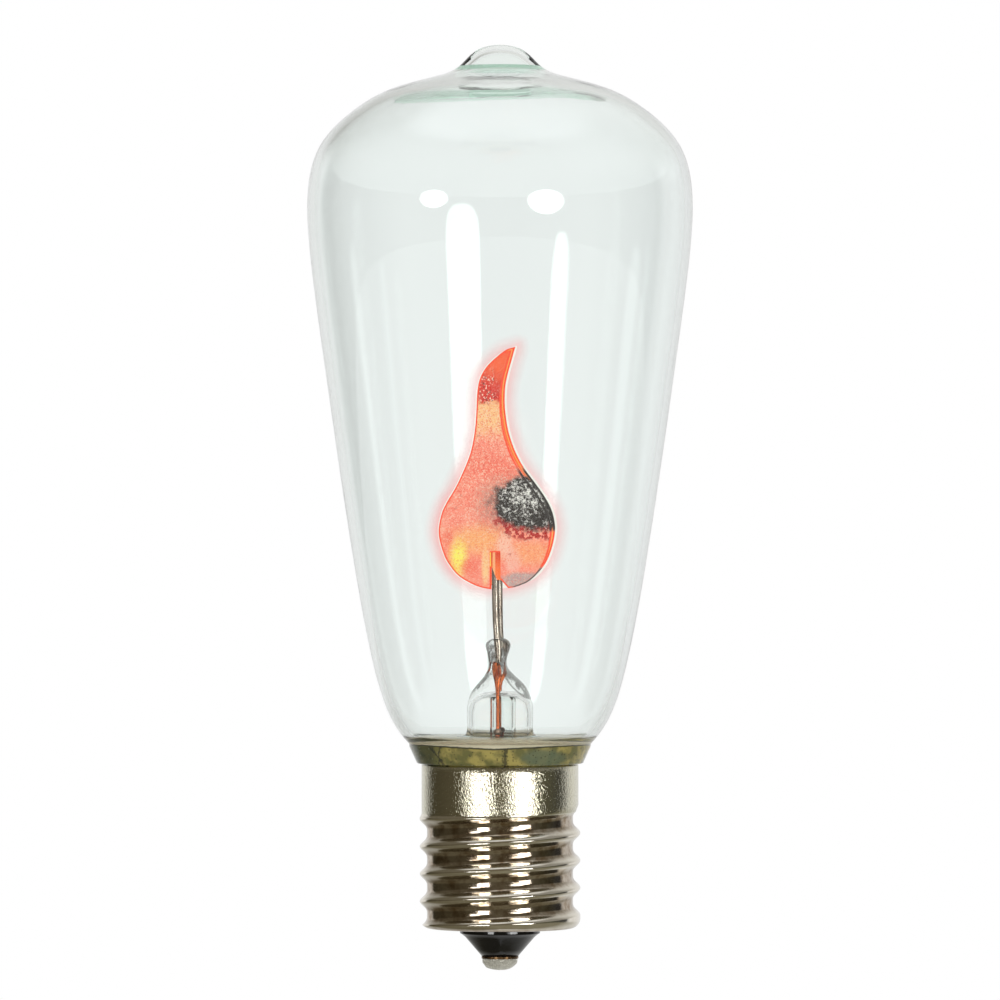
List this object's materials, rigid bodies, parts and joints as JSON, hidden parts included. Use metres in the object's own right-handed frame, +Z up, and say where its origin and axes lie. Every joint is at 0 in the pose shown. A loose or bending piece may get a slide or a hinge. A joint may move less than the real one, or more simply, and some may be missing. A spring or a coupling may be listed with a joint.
{
  "type": "flicker flame bulb",
  "caption": "Clear pear-shaped glass bulb with flame-shaped glow plates on a wire stem, over a small metal screw cap.",
  "frame": {"origin": "lowest point of the solder on the centre contact, on the bulb's axis", "axes": "+Z up the bulb's axis from the cap to the tip, +X across the flame plates, +Y from the front plate to the rear plate"},
  "size_m": [0.0398, 0.0398, 0.0953],
  "materials": {
    "clear_glass": "clear blown glass, faintly green where thick",
    "stem_glass": "clear pressed and drawn glass",
    "flame_metal": "coated sheet, glowing orange pink in use",
    "nickel_wire": "bright drawn nickel wire",
    "copper_wire": "red copper skin",
    "weld_metal": "melted bead",
    "ceramic": "matt fired ceramic",
    "cup_steel": "tinned steel",
    "cement": "baked resin cement",
    "nickel_shell": "bright nickel plate, finely grained on the skirt",
    "black_glass": "fused black glass",
    "eyelet_brass": "tarnished brass",
    "solder": "soft solder, slightly rough"
  },
  "bodies": {
    "root": {"glass_envelope": "clear_glass", "glass_stem": "stem_glass", "exhaust_tube": "stem_glass", "front_flame_plate": "flame_metal", "rear_flame_plate": "flame_metal", "front_support_wire": "nickel_wire", "rear_support_wire": "nickel_wire", "front_seal_wire": "copper_wire", "rear_seal_wire": "copper_wire", "front_weld_knot": "weld_metal", "rear_weld_knot": "weld_metal", "side_lead_wire": "copper_wire", "centre_lead_wire": "copper_wire", "tip_lead_wire": "copper_wire", "side_weld": "weld_metal", "resistor_rod": "ceramic", "resistor_upper_cup": "cup_steel", "resistor_lower_cup": "cup_steel", "basing_cement": "cement", "screw_shell": "nickel_shell", "base_insulator": "black_glass", "contact_eyelet": "eyelet_brass", "tip_solder": "solder"}
  },
  "joints": []
}
